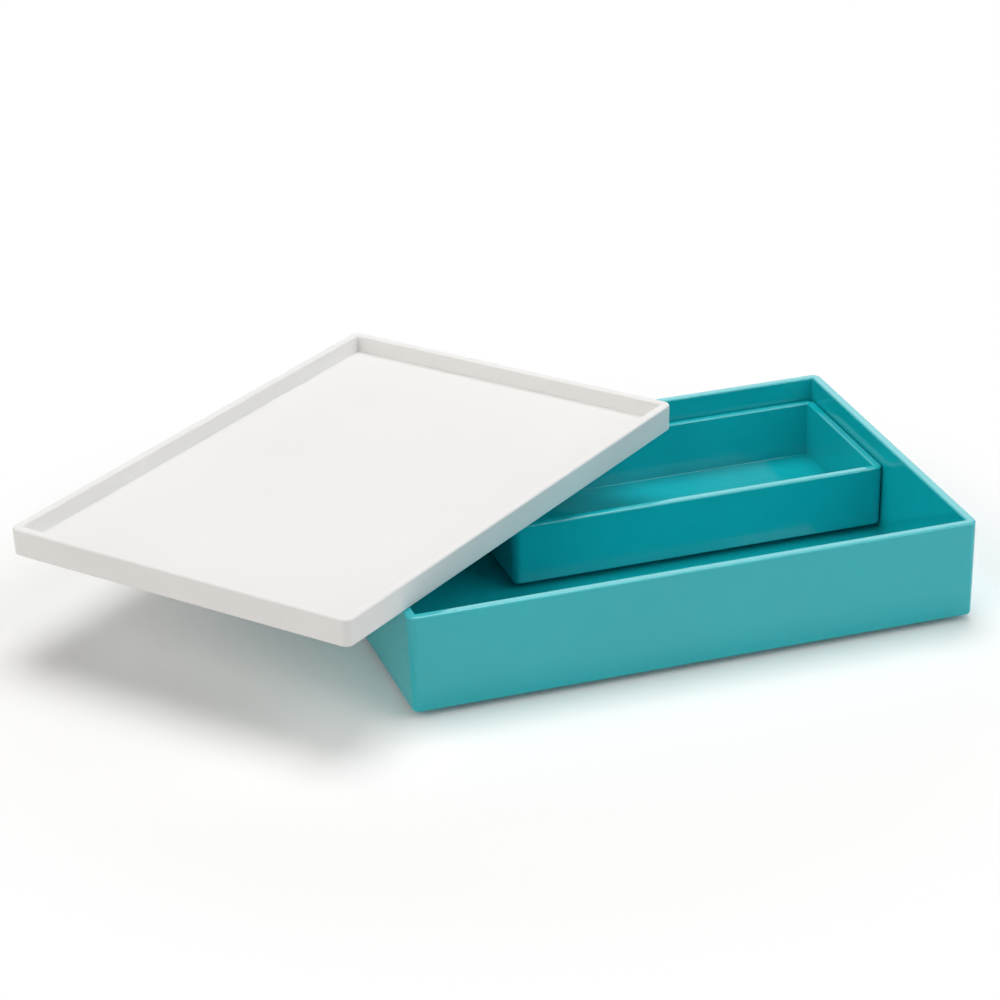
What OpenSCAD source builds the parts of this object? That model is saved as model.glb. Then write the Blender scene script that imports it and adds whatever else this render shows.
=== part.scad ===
// Desk accessory tray: a moulded base tray that holds a smaller inner tray,
// with a slim lid tray lying askew across its rim.
// Millimetres. The origin is the centre of the base's footprint on the table,
// X runs along the base's long side and Z points up.

/* [Base tray] */
// Outside length at the rim
base_length = 248.1; // [205:0.1:320]
// Outside width at the rim
base_width = 172.9; // [130:0.1:240]
// Height of the moulding, without its feet
base_height = 43.1; // [32:0.1:80]
// Wall thickness at the rim
base_wall = 4.2; // [3:0.1:6]
// Floor thickness
base_floor = 3; // [2:0.1:5]
// From the rim's outside to the axis of each foot, both ways
base_foot_inset = 16; // [12:0.5:30]

/* [Inner tray] */
// Outside length at the rim
inner_length = 171.9; // [80:0.1:180]
// Outside width at the rim
inner_width = 81.6; // [50:0.1:110]
// How far its rim lies below the base's rim
inner_rim_drop = 10; // [4:0.1:18]
// Wall thickness at the rim
inner_wall = 3.8; // [2.5:0.1:5]
// Floor thickness
inner_floor = 2.6; // [2:0.1:5]
// From the rim's outside to the axis of each foot, both ways
inner_foot_inset = 13; // [11:0.5:20]
// Running gap to the base's end wall
inner_end_gap = 0.35; // [0.3:0.05:2]
// Running gap to the base's back wall
inner_back_gap = 0.95; // [0.3:0.05:2]

/* [Lid] */
// Overall height, without its feet
lid_height = 12.2; // [8:0.1:24]
// Wall thickness at the rim
lid_wall = 4.1; // [2.5:0.1:6]
// Floor thickness
lid_floor = 4.7; // [2:0.1:6]
// Play of its feet inside the base's rim when the lid is put on straight
lid_play = 0.7; // [0.3:0.1:3]
// Turn of the lid on the rim
lid_turn = 38.8; // [20:0.1:60]
// Place of the lid's centre along the base
lid_shift_x = -110.5; // [-120:0.1:-80]
// Place of the lid's centre across the base
lid_shift_y = 42.15; // [20:0.05:60]

/* [Moulded edges] */
// Draft of every wall, so that the trays leave their moulds
draft = 1.5; // [0.5:0.1:3]
// Radius of the upright outside corners at the rim
corner_radius = 4; // [3:0.1:8]
// Rounding of the rim's outside edge
rim_outer_round = 1; // [0.4:0.1:1.2]
// Rounding of the rim's inside edge
rim_inner_round = 0.8; // [0.2:0.1:1.2]
// Rounding of the bottom edge
bottom_round = 0.9; // [0.5:0.1:2.5]

/* [Feet] */
// Diameter of a foot
foot_diameter = 10; // [6:0.5:12]
// How far a foot stands below the moulding
foot_drop = 2.6; // [1:0.1:3]
// How deep a foot is seated in its pocket
foot_seat = 1; // [0.5:0.1:1.4]
// Gap around a foot in its pocket
foot_clearance = 0.1; // [0.05:0.05:0.3]
// Rounding of a foot's lower edge
foot_round = 0.6; // [0.2:0.1:0.9]

/* [Hidden] */
$fn = 64;
// Overshoot of the cuts
cut = 1;
// Least radius of a corner's bottom face, inside its rounding
least_core = 0.3;
teal = [0.20, 0.60, 0.62];
white = [0.95, 0.95, 0.94];
rubber = [0.30, 0.31, 0.32];

// Each foot's name and the corner that it stands at
CORNERS = [
    ["front_left", -1, -1],
    ["front_right", 1, -1],
    ["back_left", -1, 1],
    ["back_right", 1, 1]
];
TRAYS = ["base", "inner_tray", "lid"];
FEET = [for (tray = TRAYS, corner = CORNERS) str(tray, "_foot_", corner[0])];

// How far a drafted wall has come in at a depth below the rim
function come_in(depth) = depth * tan(draft);

// Heights of the mouldings' undersides above the table
base_z = foot_drop;
inner_z = base_z + base_floor + foot_drop;
lid_z = base_z + base_height;
inner_height = lid_z - inner_rim_drop - inner_z;

// The inner tray stands in the base's back right corner
inner_x = base_length / 2 - base_wall - come_in(inner_rim_drop) - inner_end_gap - inner_length / 2;
inner_y = base_width / 2 - base_wall - come_in(inner_rim_drop) - inner_back_gap - inner_width / 2;

// The lid has the base's footprint, and its feet drop inside the base's rim
lid_length = base_length;
lid_width = base_width;
lid_foot_inset = base_wall + lid_play + foot_diameter / 2;

// The outer half of a disc
module half_disc(r) {
    intersection() {
        circle(r);
        translate([0, -r]) square([r, 2 * r]);
    }
}

// Section of a moulding's outside edge, from the corner's axis outwards:
// a drafted side, tangent to an arc at the bottom and an arc at the rim
module edge_section(height) {
    normal = [cos(draft), -sin(draft)];
    side_at_bottom = corner_radius - come_in(height);
    low_r = min(bottom_round, side_at_bottom - least_core);
    low = [side_at_bottom + come_in(low_r) - low_r / cos(draft), low_r];
    high_r = rim_outer_round;
    high = [corner_radius - come_in(high_r) - high_r / cos(draft), height - high_r];
    polygon([
        [0, 0], [low[0], 0], low + low_r * normal,
        high + high_r * normal, [high[0], height], [0, height]
    ]);
    translate(low) half_disc(low_r);
    translate(high) half_disc(high_r);
}

// Outside of a moulding: the edge section carried along four straight sides
// and round four corners, about a core block
module moulded_block(length, width, height) {
    side_x = length - 2 * corner_radius;
    side_y = width - 2 * corner_radius;
    translate([-side_x / 2, -side_y / 2, 0]) cube([side_x, side_y, height]);
    for (turn = [0, 180]) rotate(turn) {
        translate([side_x / 2, side_y / 2, 0]) rotate([90, 0, 0])
            linear_extrude(side_y) edge_section(height);
        translate([-side_x / 2, side_y / 2, 0]) rotate([90, 0, 90])
            linear_extrude(side_x) edge_section(height);
        translate([side_x / 2, side_y / 2, 0])
            rotate_extrude(angle = 90) edge_section(height);
        translate([-side_x / 2, side_y / 2, 0]) rotate(90)
            rotate_extrude(angle = 90) edge_section(height);
    }
}

// Section of a hollow across its span: drafted sides that open over an arc at the rim
module hollow_section(span, height, floor) {
    normal = [-cos(draft), sin(draft)];
    half = span / 2;
    r = rim_inner_round;
    lip = [half - come_in(r) + r / cos(draft), height - r];
    edge = lip + r * normal;
    bottom = half - come_in(height - floor);
    difference() {
        polygon([
            [-bottom, floor], [bottom, floor], edge, [lip[0], height], [lip[0], height + cut],
            [-lip[0], height + cut], [-lip[0], height], [-edge[0], edge[1]]
        ]);
        for (side = [-1, 1]) translate([side * lip[0], lip[1]]) circle(r);
    }
}

// Hollow of a tray: two drafted prisms cross, which leaves square inside corners
module hollow(length, width, height, floor) {
    intersection() {
        translate([-length / 2, 0, 0]) rotate([90, 0, 90])
            linear_extrude(length) hollow_section(width, height, floor);
        translate([0, width / 2, 0]) rotate([90, 0, 0])
            linear_extrude(width) hollow_section(length, height, floor);
    }
}

// Place a foot's shape at one corner of a tray
module at_corner(corner, length, width, inset) {
    translate([corner[1] * (length / 2 - inset), corner[2] * (width / 2 - inset), 0]) children();
}

// A whole moulding, standing on z = 0: drafted shell with four foot pockets
module tray_shell(length, width, height, wall, floor, foot_inset) {
    difference() {
        moulded_block(length, width, height);
        hollow(length - 2 * wall, width - 2 * wall, height, floor);
        for (corner = CORNERS) at_corner(corner, length, width, foot_inset)
            translate([0, 0, -cut]) cylinder(d = foot_diameter + 2 * foot_clearance, h = cut + foot_seat);
    }
}

// A round pad with a rounded lower edge, seated against its pocket's roof
module foot() {
    r = foot_diameter / 2;
    thick = foot_drop + foot_seat;
    color(rubber) translate([0, 0, -foot_drop]) rotate_extrude() {
        translate([0, foot_round]) square([r, thick - foot_round]);
        square([r - foot_round, foot_round]);
        intersection() {
            translate([r - foot_round, 0]) square(foot_round);
            translate([r - foot_round, foot_round]) circle(foot_round);
        }
    }
}

// Where each tray stands
module on_base() { translate([0, 0, base_z]) children(); }
module in_base() { translate([inner_x, inner_y, inner_z]) children(); }
module on_rim() { translate([lid_shift_x, lid_shift_y, lid_z]) rotate(lid_turn) children(); }

module base_tray() {
    color(teal) on_base()
        tray_shell(base_length, base_width, base_height, base_wall, base_floor, base_foot_inset);
}

module inner_tray() {
    color(teal) in_base()
        tray_shell(inner_length, inner_width, inner_height, inner_wall, inner_floor, inner_foot_inset);
}

module lid() {
    color(white) on_rim()
        tray_shell(lid_length, lid_width, lid_height, lid_wall, lid_floor, lid_foot_inset);
}

module base_foot(corner) {
    on_base() at_corner(corner, base_length, base_width, base_foot_inset) foot();
}

module inner_tray_foot(corner) {
    in_base() at_corner(corner, inner_length, inner_width, inner_foot_inset) foot();
}

module lid_foot(corner) {
    on_rim() at_corner(corner, lid_length, lid_width, lid_foot_inset) foot();
}

base_tray();
inner_tray();
lid();
for (corner = CORNERS) {
    base_foot(corner);
    inner_tray_foot(corner);
    lid_foot(corner);
}
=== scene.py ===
"""Looks of a desk accessory tray.

A gloss teal base tray holds a loose inner tray, and a satin white lid tray lies askew
across its rim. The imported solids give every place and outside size. Each moulding is
shown by a finer surface of the same size: a section carried round the outline, ring by
ring. Units are metres, +Z is up and X runs along the base tray's long side.
"""

import logging
import math
from dataclasses import dataclass
from enum import Enum

import bpy
import numpy as np
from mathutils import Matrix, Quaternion, Vector


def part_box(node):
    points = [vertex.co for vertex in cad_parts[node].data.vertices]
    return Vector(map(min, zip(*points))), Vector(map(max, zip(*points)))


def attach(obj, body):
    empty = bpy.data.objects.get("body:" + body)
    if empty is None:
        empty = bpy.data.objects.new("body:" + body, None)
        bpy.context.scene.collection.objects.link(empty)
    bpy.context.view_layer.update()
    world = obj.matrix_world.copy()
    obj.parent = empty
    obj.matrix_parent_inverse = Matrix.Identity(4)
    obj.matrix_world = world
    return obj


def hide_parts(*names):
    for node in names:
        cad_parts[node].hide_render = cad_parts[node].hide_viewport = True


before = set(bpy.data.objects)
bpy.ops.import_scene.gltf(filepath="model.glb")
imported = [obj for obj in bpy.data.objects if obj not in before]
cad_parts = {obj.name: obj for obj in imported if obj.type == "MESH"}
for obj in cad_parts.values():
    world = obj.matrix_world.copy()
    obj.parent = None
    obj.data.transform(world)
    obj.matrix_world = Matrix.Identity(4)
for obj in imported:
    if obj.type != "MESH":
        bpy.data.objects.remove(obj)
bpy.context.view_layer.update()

LOG = logging.getLogger("accessory_tray")
MM = 0.001
QUARTER_TURN = math.pi / 2
# Faces that meet at a greater angle keep a crisp edge
SHARP_ANGLE = math.radians(40.0)
WHITE = (1.0, 1.0, 1.0)

Colour = tuple[float, float, float]
Faces = list[list[int]]


class Corner(Enum):
    """The corners of a tray in plan, counter-clockwise, as signs along X and Y."""

    BACK_RIGHT = (1, 1)
    BACK_LEFT = (-1, 1)
    FRONT_LEFT = (-1, -1)
    FRONT_RIGHT = (1, -1)

    @property
    def words(self) -> str:
        """The corner's name as the nodes spell it."""
        return self.name.lower()


class Slot(Enum):
    """The record's material slots."""

    TEAL = "teal_plastic"
    WHITE = "white_plastic"
    RUBBER = "foot_rubber"


class NodeGraph:
    """A material's or world's node tree, with short ways to add and join nodes."""

    # Nearly all of a noise lies between these two
    NOISE_LOW = 0.3
    NOISE_HIGH = 0.7
    # A Mix node's colour sockets share their names with its other kinds, so they go by number
    MIX_FIRST = 6
    MIX_SECOND = 7
    MIX_RESULT = 2

    def __init__(self, tree: bpy.types.NodeTree) -> None:
        """Empty the tree and keep it."""
        self.tree = tree
        tree.nodes.clear()

    def feed(self, socket: bpy.types.NodeSocket, value: object) -> None:
        """Link a socket to another one, or set its value."""
        if isinstance(value, bpy.types.NodeSocket):
            self.tree.links.new(value, socket)
        else:
            socket.default_value = value

    def add(self, kind: str, **inputs: object) -> bpy.types.Node:
        """Add a node and feed its inputs by name.

        Args:
            kind: The node's type, such as ShaderNodeTexNoise.
            inputs: Sockets or values for the inputs, with underscores for spaces in their names.

        Returns:
            The new node.
        """
        node = self.tree.nodes.new(kind)
        for name, value in inputs.items():
            self.feed(node.inputs[name.replace("_", " ")], value)
        return node

    def join(self, kind: str, *values: object) -> bpy.types.Node:
        """Add a node and feed its inputs in order.

        Args:
            kind: The node's type.
            values: Sockets or values for the first inputs.

        Returns:
            The new node.
        """
        node = self.tree.nodes.new(kind)
        for socket, value in zip(node.inputs, values):
            self.feed(socket, value)
        return node

    def math(self, operation: str, *values: object) -> bpy.types.NodeSocket:
        """Join sockets or numbers with a Math node.

        Args:
            operation: The Math node's operation.
            values: The operands, in order.

        Returns:
            The result's socket.
        """
        node = self.join("ShaderNodeMath", *values)
        node.operation = operation
        return node.outputs[0]

    def ranged(
        self, value: bpy.types.NodeSocket, low: float, high: float, start: float = 0.0, stop: float = 1.0
    ) -> bpy.types.Node:
        """Carry a value in a straight line from one range to another, held at both ends.

        Args:
            value: The value's socket.
            low: Result where the value is at start.
            high: Result where the value is at stop.
            start: The value's first end.
            stop: The value's other end.

        Returns:
            The Map Range node.
        """
        return self.add(
            "ShaderNodeMapRange", Value=value, From_Min=start, From_Max=stop, To_Min=low, To_Max=high
        )

    def noise(self, vector: bpy.types.NodeSocket, size: float, layers: float) -> bpy.types.NodeSocket:
        """A noise whose blotches are about as wide as given.

        Args:
            vector: The coordinates, in metres.
            size: Width of a blotch.
            layers: How many finer layers it has.

        Returns:
            The noise's factor.
        """
        return self.add("ShaderNodeTexNoise", Vector=vector, Scale=1.0 / size, Detail=layers).outputs[0]

    def spread(self, noise: bpy.types.NodeSocket, low: float, high: float) -> bpy.types.NodeSocket:
        """Stretch the middle of a noise, where nearly all of it lies, over a range.

        Args:
            noise: The noise's factor.
            low: Result at the noise's usual least.
            high: Result at its usual most.

        Returns:
            The result's socket.
        """
        return self.ranged(noise, low, high, self.NOISE_LOW, self.NOISE_HIGH).outputs["Result"]

    def mix_colour(
        self, share: bpy.types.NodeSocket, first: Colour, second: Colour
    ) -> bpy.types.NodeSocket:
        """Mix two colours.

        Args:
            share: Share of the second colour.
            first: Colour where the share is 0.
            second: Colour where the share is 1.

        Returns:
            The mixed colour's socket.
        """
        node = self.add("ShaderNodeMix")
        node.data_type = "RGBA"
        self.feed(node.inputs["Factor"], share)
        self.feed(node.inputs[self.MIX_FIRST], (*first, 1.0))
        self.feed(node.inputs[self.MIX_SECOND], (*second, 1.0))
        return node.outputs[self.MIX_RESULT]


@dataclass(frozen=True)
class MouldedFinish:
    """A moulded plastic or rubber: nearly even colour, and a surface that came off a tool.

    Attributes:
        name: The material's name.
        slot: The record's slot that it shows; not used.
        colour: Middle of the colour.
        flow_shade: Share by which the colour drifts either way.
        flow_size: Width of a drift.
        roughness: Middle of the roughness.
        roughness_swing: How far the roughness swings either way from patch to patch.
        grain_size: Width of the tool's grain.
        grain_height: Height of the grain.
        drag: How far the roughness swings either way across the drag marks.
        ior: Index of refraction.
        patch_size: Width of a patch of roughness.
        patch_layers: Finer layers in the patches.
        drag_width: Width of a drag mark.
        drag_scale: Scale of the drag marks along Z, which draws them out upright.
        fine_layers: Finer layers in the flow, the drag marks and the grain.
    """

    name: str
    slot: Slot
    colour: Colour
    flow_shade: float
    flow_size: float
    roughness: float
    roughness_swing: float
    grain_size: float
    grain_height: float
    drag: float
    ior: float = 1.5
    patch_size: float = 9.0 * MM
    patch_layers: float = 3.0
    drag_width: float = 1.2 * MM
    drag_scale: float = 0.03
    fine_layers: float = 2.0

    def shaded(self, share: float) -> Colour:
        """The colour made lighter by a share, or darker where the share is below 0."""
        red, green, blue = (min(1.0, c * (1.0 + share)) for c in self.colour)
        return red, green, blue

    def material(self) -> bpy.types.Material:
        """Make the material.

        The colour drifts slowly by flow_shade, as melt does in a mould. The roughness
        swings in small patches, with faint upright drag marks from the mould's pull. The
        grain is a fine bump of the tool's own texture.

        Returns:
            The material.
        """
        made = bpy.data.materials.new(self.name)
        made.use_nodes = True
        graph = NodeGraph(made.node_tree)
        place = graph.add("ShaderNodeTexCoord").outputs["Object"]
        flow = graph.spread(graph.noise(place, self.flow_size, self.fine_layers), 0.0, 1.0)
        tint = graph.mix_colour(flow, self.shaded(-self.flow_shade), self.shaded(self.flow_shade))
        pulled = graph.add("ShaderNodeMapping", Vector=place, Scale=(1.0, 1.0, self.drag_scale))
        marks = graph.spread(
            graph.noise(pulled.outputs["Vector"], self.drag_width, self.fine_layers), -self.drag, self.drag
        )
        patches = graph.spread(
            graph.noise(place, self.patch_size, self.patch_layers),
            self.roughness - self.roughness_swing,
            self.roughness + self.roughness_swing,
        )
        grain = graph.noise(place, self.grain_size, self.fine_layers)
        bump = graph.add("ShaderNodeBump", Height=grain, Distance=self.grain_height, Strength=1.0)
        shader = graph.add(
            "ShaderNodeBsdfPrincipled",
            Base_Color=tint,
            Roughness=graph.math("ADD", patches, marks),
            Normal=bump.outputs["Normal"],
            IOR=self.ior,
        )
        graph.add("ShaderNodeOutputMaterial", Surface=shader.outputs["BSDF"])
        return made

    def shared(self) -> bpy.types.Material:
        """The material, made once and then shared."""
        return bpy.data.materials.get(self.name) or self.material()


TEAL_GLOSS = MouldedFinish(
    name="teal_gloss_plastic",
    slot=Slot.TEAL,
    colour=(0.006, 0.51, 0.57),
    flow_shade=0.03,
    flow_size=60.0 * MM,
    roughness=0.05,
    roughness_swing=0.012,
    grain_size=0.9 * MM,
    grain_height=0.0005 * MM,
    drag=0.008,
    ior=1.6,
)
WHITE_SATIN = MouldedFinish(
    name="white_satin_plastic",
    slot=Slot.WHITE,
    colour=(0.868, 0.865, 0.86),
    flow_shade=0.012,
    flow_size=70.0 * MM,
    roughness=0.6,
    roughness_swing=0.04,
    grain_size=0.7 * MM,
    grain_height=0.0008 * MM,
    drag=0.02,
)
FOOT_RUBBER = MouldedFinish(
    name="grey_foot_rubber",
    slot=Slot.RUBBER,
    colour=(0.07, 0.072, 0.075),
    flow_shade=0.1,
    flow_size=4.0 * MM,
    roughness=0.75,
    roughness_swing=0.08,
    grain_size=0.3 * MM,
    grain_height=0.02 * MM,
    drag=0.0,
)


@dataclass(frozen=True)
class MouldedEdges:
    """The draft and roundings that all three mouldings share.

    Attributes:
        draft: Lean of every wall, in radians.
        corner_radius: Radius of the upright outside corners at the rim.
        rim_outer_round: Rounding of the rim's outside edge.
        rim_inner_round: Rounding of the rim's inside edge.
        bottom_round: Rounding of the bottom edge.
        inside_corner: Radius of the upright inside corners at the rim.
        floor_round: Fillet between the walls and the floor.
        least_radius: Least radius of an upright corner, where the draft would close it.
        round_steps: Steps in a rounding.
        corner_steps: Steps round an upright corner.
    """

    draft: float = math.radians(1.5)
    corner_radius: float = 4.0 * MM
    rim_outer_round: float = 1.0 * MM
    rim_inner_round: float = 0.8 * MM
    bottom_round: float = 0.9 * MM
    inside_corner: float = 0.4 * MM
    floor_round: float = 0.4 * MM
    least_radius: float = 0.1 * MM
    round_steps: int = 6
    corner_steps: int = 10

    @property
    def lean(self) -> float:
        """Level distance from an arc's centre to its drafted side, for a radius of 1."""
        return 1.0 / math.cos(self.draft)

    def come_in(self, depth: float) -> float:
        """How far a drafted wall has come in at a depth below the rim."""
        return depth * math.tan(self.draft)

    def rim_trim(self) -> float:
        """How far the rounded rim stays inside the sharp one that its size is given at."""
        return self.come_in(self.rim_outer_round) + self.rim_outer_round * (self.lean - 1.0)

    def arc(self, offset: float, height: float, radius: float, start: float, stop: float) -> np.ndarray:
        """Points on an arc of the section: its centre plus the radius times cosine and sine.

        Args:
            offset: Outward offset of the arc's centre.
            height: Height of the centre.
            radius: Radius of the arc.
            start: First angle in radians, from outward towards up.
            stop: Last angle in radians.

        Returns:
            An array of (offset, height) rows.
        """
        angle = np.linspace(start, stop, self.round_steps + 1)
        return np.stack([offset + radius * np.cos(angle), height + radius * np.sin(angle)], axis=1)

    def outside(self, height: float) -> np.ndarray:
        """Outside of a wall's section: bottom arc, drafted side and rim arc.

        Both arcs end where they are tangent to the side.

        Args:
            height: Height of the moulding.

        Returns:
            Rows of (offset from the rim's outline, height), upwards.
        """
        low, high = self.bottom_round, self.rim_outer_round
        heel = -self.come_in(height - low) - low * self.lean
        lip = -self.come_in(high) - high * self.lean
        bottom = self.arc(heel, low, low, -QUARTER_TURN, -self.draft)
        rim = self.arc(lip, height - high, high, -self.draft, QUARTER_TURN)
        return np.concatenate([bottom, rim])

    def inside(self, height: float, floor: float) -> np.ndarray:
        """Inside of a wall's section: rim arc, drafted side and the arc into the floor.

        Args:
            height: Height of the moulding.
            floor: Height of the floor's top.

        Returns:
            Rows of (offset from the hollow's outline at the rim, height), downwards.
        """
        low, high = self.floor_round, self.rim_inner_round
        lip = -self.come_in(high) + high * self.lean
        heel = -self.come_in(height - floor - low) - low * self.lean
        rim = self.arc(lip, height - high, high, QUARTER_TURN, math.pi - self.draft)
        bottom = self.arc(heel, floor + low, low, -self.draft, -QUARTER_TURN)
        return np.concatenate([rim, bottom])


@dataclass(frozen=True)
class Place:
    """Where a moulding stands: the middle of its underside, and its turn about Z."""

    x: float
    y: float
    z: float
    turn: float = 0.0

    def apply(self, points: np.ndarray) -> np.ndarray:
        """Turn points about Z, then move them from a moulding's own axes to the frame's.

        Args:
            points: Rows of x, y and z in the moulding's own axes.

        Returns:
            The rows in the frame.
        """
        c, s = math.cos(self.turn), math.sin(self.turn)
        spin = np.array([[c, -s, 0.0], [s, c, 0.0], [0.0, 0.0, 1.0]])
        return points @ spin.T + np.array([self.x, self.y, self.z])


def ring_faces(rings: int, around: int, first: int = 0, inward: bool = False) -> Faces:
    """Quads between neighbouring rings of a surface that closes on itself.

    Args:
        rings: Number of rings.
        around: Number of points in each ring, counter-clockwise.
        first: Index of the first ring's first point.
        inward: Whether the quads face the rings' axis and not away from it.

    Returns:
        The quads, for rings that go up.
    """
    row, col = np.meshgrid(np.arange(rings - 1), np.arange(around), indexing="ij")
    near, far = row * around, (row + 1) * around
    step = (col + 1) % around
    quads = np.stack([near + col, near + step, far + step, far + col], axis=-1) + first
    if inward:
        quads = quads[..., ::-1]
    return quads.reshape(-1, 4).tolist()


def piece_from(
    name: str, points: np.ndarray, faces: Faces, finish: bpy.types.Material
) -> bpy.types.Object:
    """Make a smooth piece whose place is in its mesh.

    Args:
        name: The piece's name.
        points: Rows of x, y and z in the frame.
        faces: Faces as point indices, counter-clockwise from outside.
        finish: The piece's material.

    Returns:
        The new object, at the origin.
    """
    mesh = bpy.data.meshes.new(name)
    mesh.from_pydata(points.tolist(), [], faces)
    mesh.validate()
    mesh.polygons.foreach_set("use_smooth", np.ones(len(mesh.polygons), dtype=bool))
    mesh.set_sharp_from_angle(angle=SHARP_ANGLE)
    mesh.materials.append(finish)
    made = bpy.data.objects.new(name, mesh)
    bpy.context.scene.collection.objects.link(made)
    weigh = made.modifiers.new("flat_faces_stay_flat", "WEIGHTED_NORMAL")
    weigh.keep_sharp = True
    return made


@dataclass(frozen=True)
class FootPad:
    """A round anti-slip pad with a rounded lower edge, seated in a pocket.

    Attributes:
        radius: Radius of the pad.
        drop: How far it stands below the moulding.
        seat: How deep it is seated in its pocket.
        clearance: Gap around it in the pocket.
        edge: Rounding of its lower edge.
        edge_steps: Steps in the rounding.
        steps: Steps round the pad.
    """

    radius: float = 5.0 * MM
    drop: float = 2.6 * MM
    seat: float = 1.0 * MM
    clearance: float = 0.1 * MM
    edge: float = 0.6 * MM
    edge_steps: int = 6
    steps: int = 48

    def angles(self) -> np.ndarray:
        """Angles of the points round a foot, from 0 to a full turn, without the last."""
        return np.arange(self.steps) * (2.0 * math.pi / self.steps)

    def surface(self) -> tuple[np.ndarray, Faces]:
        """The pad as a turned profile: flat face, rounded edge, side and flat top.

        Each row of the profile is a reach from the axis and a height, carried round a circle.

        Returns:
            Its points about its own axis, with the moulding's underside at z = 0, and its faces.
        """
        bend = np.linspace(-QUARTER_TURN, 0.0, self.edge_steps + 1)
        reach = np.append(self.radius - self.edge + self.edge * np.cos(bend), self.radius)
        height = np.append(-self.drop + self.edge + self.edge * np.sin(bend), self.seat)
        angle = self.angles()
        points = np.stack(
            [
                reach[:, None] * np.cos(angle),
                reach[:, None] * np.sin(angle),
                np.broadcast_to(height[:, None], (len(reach), self.steps)),
            ],
            axis=-1,
        ).reshape(-1, 3)
        top = (len(reach) - 1) * self.steps
        faces = ring_faces(len(reach), self.steps)
        faces.append(list(reversed(range(self.steps))))
        faces.append(list(range(top, top + self.steps)))
        return points, faces


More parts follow.
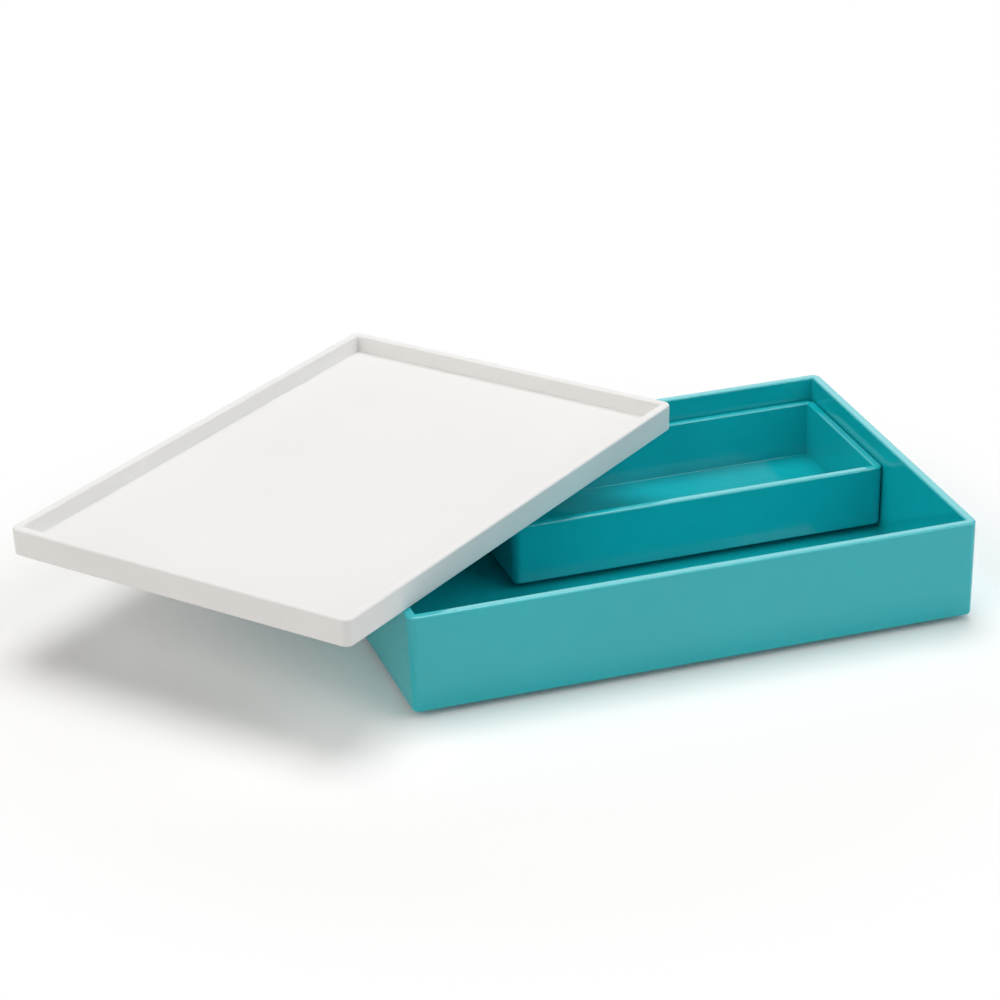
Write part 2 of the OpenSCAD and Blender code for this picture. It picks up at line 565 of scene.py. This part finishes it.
@dataclass(frozen=True)
class Moulding:
    """One tray: a drafted shell with rounded edges, on four pads in pockets.

    Attributes:
        node: The node that the shell stands for.
        body: The body that the tray rides on.
        foot_node: What its feet's nodes are called before their corner's name.
        finish: The shell's finish.
        length: Outside length at the rim, as if its edge were sharp.
        width: Outside width at the rim, as if its edge were sharp.
        height: Height of the moulding, without its feet.
        wall: Wall thickness at the rim.
        floor: Floor thickness.
        foot_inset: From the rim's outside to the axis of each foot, both ways.
        place: Where it stands.
        edges: Its draft and roundings.
        foot: Its pads.
    """

    node: str
    body: str
    foot_node: str
    finish: MouldedFinish
    length: float
    width: float
    height: float
    wall: float
    floor: float
    foot_inset: float
    place: Place
    edges: MouldedEdges = MouldedEdges()
    foot: FootPad = FootPad()

    def foot_axis(self, corner: Corner) -> tuple[float, float]:
        """Where a foot's axis stands, in the moulding's own axes."""
        along, across = corner.value
        return along * (self.length / 2 - self.foot_inset), across * (self.width / 2 - self.foot_inset)

    def stations(self) -> np.ndarray:
        """Shares of each straight side at which it has points: at both feet and in the middle.

        Returns:
            One row of three shares for the side after each corner.
        """
        radius = self.edges.corner_radius
        long_side, short_side = self.length - 2 * radius, self.width - 2 * radius
        end = (self.foot_inset - radius) / np.array([long_side, short_side, long_side, short_side])
        return np.stack([end, np.full_like(end, 0.5), 1.0 - end], axis=1)

    def rings(self, half: tuple[float, float], radius: float, section: np.ndarray) -> np.ndarray:
        """Carry a section round a rounded rectangle.

        Each row of the section moves the outline out by its offset, and the corner's
        radius with it, so the corner's axis stays where it is. A radius ends at a small
        least, where the outline itself moves.

        Args:
            half: Half the outline's length and width.
            radius: Radius of the outline's corners.
            section: Rows of (offset, height).

        Returns:
            An array of rings by points by x, y and z, counter-clockwise.
        """
        offset, height = section[:, 0], section[:, 1]
        bend = np.maximum(radius + offset, self.edges.least_radius)[:, None, None]
        sign = np.array([corner.value for corner in Corner], dtype=float)
        within = np.linspace(0.0, QUARTER_TURN, self.edges.corner_steps + 1)
        turn = np.arange(len(Corner))[:, None] * QUARTER_TURN + within
        centre = sign * (np.array(half) + offset[:, None, None] - bend)
        arcs = centre[:, :, None, :] + bend[..., None] * np.stack([np.cos(turn), np.sin(turn)], axis=-1)
        start, stop = arcs[:, :, -1:, :], np.roll(arcs, -1, axis=1)[:, :, :1, :]
        sides = start + self.stations()[None, :, :, None] * (stop - start)
        plan = np.concatenate([arcs, sides], axis=2).reshape(len(section), -1, 2)
        level = np.broadcast_to(height[:, None, None], (*plan.shape[:2], 1))
        return np.concatenate([plan, level], axis=-1)

    def underside(self, ring: np.ndarray, first: int) -> tuple[np.ndarray, Faces]:
        """The flat underside with its four round pockets.

        The face is cut into quarters along both middle lines, and each quarter in two by
        a line through its foot, from the side before its corner to the middle line after
        it. So every quarter has two faces that share one pocket: a circle at the
        underside and the same circle at the pocket's roof.

        Args:
            ring: The underside's outline, the shell's first ring.
            first: Index that the new points start at, of which the first is the middle.

        Returns:
            The new points and the faces.
        """
        steps = self.foot.steps
        half_round = steps // 2
        angle = self.foot.angles()[:, None]
        reach = self.foot.radius + self.foot.clearance
        outline_share = len(ring) // len(Corner)
        quarter = 1 + 2 * steps
        points = [np.zeros((1, 3))]
        faces: Faces = []
        for k, corner in enumerate(Corner):
            axis = np.array(self.foot_axis(corner))
            out = np.array([math.cos(k * QUARTER_TURN), math.sin(k * QUARTER_TURN)])
            left = np.array([-out[1], out[0]])
            circle = axis + reach * (np.cos(angle) * out + np.sin(angle) * left)
            points.append(np.append(axis - out * (axis @ out), 0.0)[None])
            points.append(np.column_stack([circle, np.zeros(steps)]))
            points.append(np.column_stack([circle, np.full(steps, self.foot.seat)]))
            cut = first + 1 + k * quarter
            cut_before = first + 1 + (k - 1) % len(Corner) * quarter
            mouth = cut + 1
            roof = mouth + steps
            start = k * outline_share
            middle = start + self.edges.corner_steps + 2
            station_before, middle_before = (start - 1) % len(ring), (start - 2) % len(ring)
            corner_side = [station_before, *range(start, middle + 1), cut]
            corner_side += [mouth + i for i in range(half_round, -1, -1)]
            centre_side = [cut, first, cut_before, middle_before, station_before]
            centre_side += [mouth + i % steps for i in range(steps, half_round - 1, -1)]
            faces += [corner_side[::-1], centre_side[::-1]]
            faces += ring_faces(2, steps, mouth, inward=True)
            faces.append(list(reversed(range(roof, roof + steps))))
        return np.concatenate(points), faces

    def shell(self) -> bpy.types.Object:
        """Make the shell: underside, outside, rim, inside and floor as one closed skin.

        Returns:
            The shell's object.
        """
        half = (self.length / 2, self.width / 2)
        hollow = (half[0] - self.wall, half[1] - self.wall)
        outside = self.rings(half, self.edges.corner_radius, self.edges.outside(self.height))
        inside = self.rings(hollow, self.edges.inside_corner, self.edges.inside(self.height, self.floor))
        skin = np.concatenate([outside, inside])
        count, around = skin.shape[:2]
        faces = ring_faces(count, around)
        faces.append(list(range((count - 1) * around, count * around)))
        under, under_faces = self.underside(skin[0], count * around)
        points = self.place.apply(np.concatenate([skin.reshape(-1, 3), under]))
        return piece_from(f"{self.node}_shell", points, faces + under_faces, self.finish.shared())

    def pad(self, corner: Corner) -> bpy.types.Object:
        """Make one foot pad.

        Args:
            corner: The corner that it stands at.

        Returns:
            The pad's object.
        """
        points, faces = self.foot.surface()
        points = self.place.apply(points + np.array([*self.foot_axis(corner), 0.0]))
        return piece_from(f"{self.foot_node}_{corner.words}_pad", points, faces, FOOT_RUBBER.shared())

    def build(self) -> list[bpy.types.Object]:
        """Make the shell and its pads, and seat each on its body in place of its node.

        Returns:
            The new pieces.
        """
        shell = self.shell()
        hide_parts(self.node)
        made = [shell]
        for corner in Corner:
            pad = self.pad(corner)
            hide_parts(f"{self.foot_node}_{corner.words}")
            made.append(pad)
        for piece in made:
            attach(piece, self.body)
        return made


@dataclass(frozen=True)
class TraySet:
    """The three mouldings at the places that the frame gives them.

    Walls, floors and foot insets are as in Moulding.

    Attributes:
        lid_play: Play of the lid's feet inside the base's rim when the lid is put on straight.
        lid_turn: Turn of the lid on the rim, in radians.
    """

    base_wall: float = 4.2 * MM
    base_floor: float = 3.0 * MM
    base_foot_inset: float = 16.0 * MM
    inner_wall: float = 3.8 * MM
    inner_floor: float = 2.6 * MM
    inner_foot_inset: float = 13.0 * MM
    lid_wall: float = 4.1 * MM
    lid_floor: float = 4.7 * MM
    lid_play: float = 0.7 * MM
    lid_turn: float = math.radians(38.8)

    @staticmethod
    def measure(node: str) -> tuple[Vector, Vector]:
        """Measure a node's box.

        Args:
            node: The node's name.

        Returns:
            The middle of its underside, and its size along the frame's axes with a sharp rim.
        """
        low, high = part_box(node)
        trim = 2.0 * MouldedEdges().rim_trim()
        underside = Vector(((low.x + high.x) / 2, (low.y + high.y) / 2, low.z))
        return underside, high - low + Vector((trim, trim, 0.0))

    def base(self) -> Moulding:
        """The base tray, square to the frame."""
        at, size = self.measure("base_tray")
        return Moulding(
            node="base_tray",
            body="base",
            foot_node="base_foot",
            finish=TEAL_GLOSS,
            length=size.x,
            width=size.y,
            height=size.z,
            wall=self.base_wall,
            floor=self.base_floor,
            foot_inset=self.base_foot_inset,
            place=Place(at.x, at.y, at.z),
        )

    def inner(self) -> Moulding:
        """The inner tray, in the base tray's back right corner."""
        at, size = self.measure("inner_tray")
        return Moulding(
            node="inner_tray",
            body="inner_tray",
            foot_node="inner_tray_foot",
            finish=TEAL_GLOSS,
            length=size.x,
            width=size.y,
            height=size.z,
            wall=self.inner_wall,
            floor=self.inner_floor,
            foot_inset=self.inner_foot_inset,
            place=Place(at.x, at.y, at.z),
        )

    def lid(self) -> Moulding:
        """The lid, with the base tray's outline, turned on the rim."""
        at, size = self.measure("lid")
        footprint = self.measure("base_tray")[1]
        return Moulding(
            node="lid",
            body="lid",
            foot_node="lid_foot",
            finish=WHITE_SATIN,
            length=footprint.x,
            width=footprint.y,
            height=size.z,
            wall=self.lid_wall,
            floor=self.lid_floor,
            foot_inset=self.base_wall + self.lid_play + FootPad().radius,
            place=Place(at.x, at.y, at.z, self.lid_turn),
        )


@dataclass(frozen=True)
class PhotoCamera:
    """The camera at the photograph's viewpoint.

    Attributes:
        aim: The point at the middle of the picture.
        distance: From the aim to the camera.
        azimuth: Turn of the camera round the aim, in radians, from straight in front.
        elevation: Its height above the level, in radians.
        roll: Its turn about its own line of sight, in radians.
        focal_pixels: Focal length in the picture's pixels.
        frame_pixels: The picture's width in pixels.
        sensor: Width of the sensor in millimetres.
        near: Where its view starts.
        far: Where its view ends.
    """

    aim: tuple[float, float, float] = (-26.52 * MM, 100.11 * MM, 1.2 * MM)
    distance: float = 1558.46 * MM
    azimuth: float = math.radians(-17.223)
    elevation: float = math.radians(24.77)
    roll: float = math.radians(-1.828)
    focal_pixels: float = 3407.5
    frame_pixels: float = 1000.0
    sensor: float = 36.0
    near: float = 0.05
    far: float = 50.0

    def stand(self) -> bpy.types.Object:
        """Make the camera and give it to the scene.

        Returns:
            The camera's object.
        """
        data = bpy.data.cameras.new("photo_camera")
        data.sensor_width = self.sensor
        data.lens = self.sensor * self.focal_pixels / self.frame_pixels
        data.clip_start = self.near
        data.clip_end = self.far
        camera = bpy.data.objects.new("photo_camera", data)
        back = Vector((
            math.sin(self.azimuth) * math.cos(self.elevation),
            -math.cos(self.azimuth) * math.cos(self.elevation),
            math.sin(self.elevation),
        ))
        camera.location = Vector(self.aim) + back * self.distance
        camera.rotation_mode = "QUATERNION"
        camera.rotation_quaternion = Quaternion(-back, -self.roll) @ (-back).to_track_quat("-Z", "Y")
        bpy.context.scene.collection.objects.link(camera)
        bpy.context.scene.camera = camera
        return camera


@dataclass(frozen=True)
class SoftBox:
    """A large soft lamp that hangs at a distance from what it lights.

    Attributes:
        name: The lamp's name.
        towards: Direction from what it lights to the lamp.
        width: Width of its face.
        height: Height of its face.
        power: Power in watts.
        distance: From what it lights to the lamp.
        aim: The point that it faces.
        tint: Colour of its light.
    """

    name: str
    towards: tuple[float, float, float]
    width: float
    height: float
    power: float
    distance: float = 2.8
    aim: tuple[float, float, float] = (-0.05, 0.04, 0.0)
    tint: Colour = WHITE

    def hang(self) -> bpy.types.Object:
        """Make the lamp.

        Returns:
            The lamp's object.
        """
        data = bpy.data.lights.new(self.name, "AREA")
        data.shape = "RECTANGLE"
        data.size = self.width
        data.size_y = self.height
        data.energy = self.power
        data.color = self.tint
        lamp = bpy.data.objects.new(self.name, data)
        direction = Vector(self.towards).normalized()
        lamp.location = Vector(self.aim) + direction * self.distance
        lamp.rotation_mode = "QUATERNION"
        lamp.rotation_quaternion = direction.to_track_quat("Z", "Y")
        bpy.context.scene.collection.objects.link(lamp)
        return lamp


@dataclass(frozen=True)
class Studio:
    """A white table without an edge, an even white surround and large soft lamps.

    Attributes:
        table_size: Length of the table's sides.
        table_colour: Level of the table's white where it is looked at.
        table_bounce: Level of its white for the light that it throws back at the object.
        table_lift: Light that is added to the table where the camera looks at it.
        fade_centre: Middle of the round place where the table shows its shadows.
        fade_start: Distance from there at which the table starts to fade to plain white.
        fade_end: Distance at which it is plain white.
        surround: Level of the surround's light on the object.
        backdrop: Level of the surround where it is looked at.
        lamps: The lamps.
    """

    table_size: float = 12.0
    table_colour: float = 1.0
    table_bounce: float = 0.84
    table_lift: float = 0.035
    fade_centre: tuple[float, float, float] = (-0.06, -0.02, 0.0)
    fade_start: float = 0.19
    fade_end: float = 0.29
    surround: float = 0.04
    backdrop: float = 1.0
    lamps: tuple[SoftBox, ...] = (
        SoftBox(name="overhead_softbox", towards=(0.1, 0.21, 0.972), width=1.7, height=1.7, power=44.5),
        SoftBox(name="back_strip", towards=(0.27, 0.87, 0.42), width=1.8, height=0.7, power=4.0),
        SoftBox(
            name="left_card",
            towards=(-0.84, -0.24, 0.48),
            width=3.2,
            height=2.4,
            power=40.0,
            tint=(1.0, 0.95, 0.89),
        ),
        SoftBox(name="right_card", towards=(0.7, -0.44, 0.56), width=3.2, height=2.4, power=38.5),
    )

    @staticmethod
    def seen(graph: NodeGraph) -> bpy.types.NodeSocket:
        """1 on rays that look at the background, straight or by a reflection, and else 0.

        Args:
            graph: The graph that needs it.

        Returns:
            The socket.
        """
        path = graph.add("ShaderNodeLightPath").outputs
        looked = graph.math("MAXIMUM", path["Is Camera Ray"], path["Is Glossy Ray"])
        return graph.math("MAXIMUM", looked, path["Is Transmission Ray"])

    def table_material(self) -> bpy.types.Material:
        """The table's material: it keeps the object's shadow, and is plain white far off.

        Returns:
            The material.
        """
        made = bpy.data.materials.new("white_table")
        made.use_nodes = True
        graph = NodeGraph(made.node_tree)
        seen = self.seen(graph)
        straight = graph.add("ShaderNodeLightPath").outputs["Is Camera Ray"]
        level = graph.ranged(seen, self.table_bounce, self.table_colour)
        matt = graph.add("ShaderNodeBsdfDiffuse", Color=level.outputs["Result"])
        lift = graph.add("ShaderNodeEmission", Strength=graph.math("MULTIPLY", straight, self.table_lift))
        near = graph.join("ShaderNodeAddShader", matt.outputs[0], lift.outputs[0])
        place = graph.add("ShaderNodeTexCoord").outputs["Object"]
        reach = graph.join("ShaderNodeVectorMath", place, self.fade_centre)
        reach.operation = "DISTANCE"
        fade = graph.ranged(reach.outputs["Value"], 0.0, 1.0, self.fade_start, self.fade_end)
        fade.interpolation_type = "SMOOTHSTEP"
        share = graph.math("MULTIPLY", seen, fade.outputs["Result"])
        white = graph.add("ShaderNodeEmission", Strength=1.0)
        both = graph.join("ShaderNodeMixShader", share, near.outputs[0], white.outputs[0])
        graph.add("ShaderNodeOutputMaterial", Surface=both.outputs[0])
        return made

    def table(self) -> bpy.types.Object:
        """Make the table top.

        Returns:
            The table's object.
        """
        half = self.table_size / 2
        corners = [(-half, -half, 0.0), (half, -half, 0.0), (half, half, 0.0), (-half, half, 0.0)]
        mesh = bpy.data.meshes.new("table_top")
        mesh.from_pydata(corners, [], [(0, 1, 2, 3)])
        mesh.materials.append(self.table_material())
        top = bpy.data.objects.new("table_top", mesh)
        bpy.context.scene.collection.objects.link(top)
        return top

    def light(self) -> None:
        """Set the surround and hang the lamps."""
        world = bpy.data.worlds.new("white_surround")
        world.use_nodes = True
        graph = NodeGraph(world.node_tree)
        level = graph.ranged(self.seen(graph), self.surround, self.backdrop)
        back = graph.add("ShaderNodeBackground", Color=(*WHITE, 1.0), Strength=level.outputs["Result"])
        graph.add("ShaderNodeOutputWorld", Surface=back.outputs[0])
        bpy.context.scene.world = world
        for lamp in self.lamps:
            lamp.hang()


def main() -> None:
    """Build the camera, the studio and the trays, and report each piece."""
    logging.basicConfig(level=logging.INFO, format="%(name)s: %(message)s")
    bpy.context.scene.view_settings.view_transform = "Standard"
    PhotoCamera().stand()
    studio = Studio()
    studio.table()
    studio.light()
    trays = TraySet()
    for moulding in (trays.base(), trays.inner(), trays.lid()):
        for piece in moulding.build():
            LOG.info("%s, %d faces", piece.name, len(piece.data.polygons))


if __name__ == "__main__":
    main()
